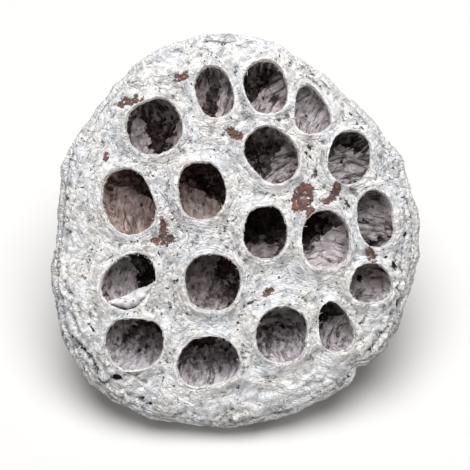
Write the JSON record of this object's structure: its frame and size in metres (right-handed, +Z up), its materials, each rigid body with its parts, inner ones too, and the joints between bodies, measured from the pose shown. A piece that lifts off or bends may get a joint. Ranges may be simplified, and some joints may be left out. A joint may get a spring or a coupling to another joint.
{
  "type": "dried lotus pod",
  "caption": "Dried, whitewashed lotus seed head with open seed pits in its face, a ribbed funnel underneath and a cut stem stub, lying on its side.",
  "frame": {"origin": "on the surface that the pod lies on, under the middle of its bounding box", "axes": "+Z up, -Y the way the face leans, so the stem points to +Y and down, +X to the right as one looks at the face"},
  "size_m": [0.08, 0.069, 0.0568],
  "materials": {
    "limewashed_husk": "chalky white limewash rubbed thin over a wrinkled grey-brown dried husk, matte",
    "bare_husk": "bare reddish-brown husk and skin where the limewash has chipped off, matte",
    "cut_pith": "pale fibrous end of the cut stem, with air channels, matte"
  },
  "bodies": {
    "root": {"lotus_pod": "limewashed_husk"}
  },
  "joints": []
}
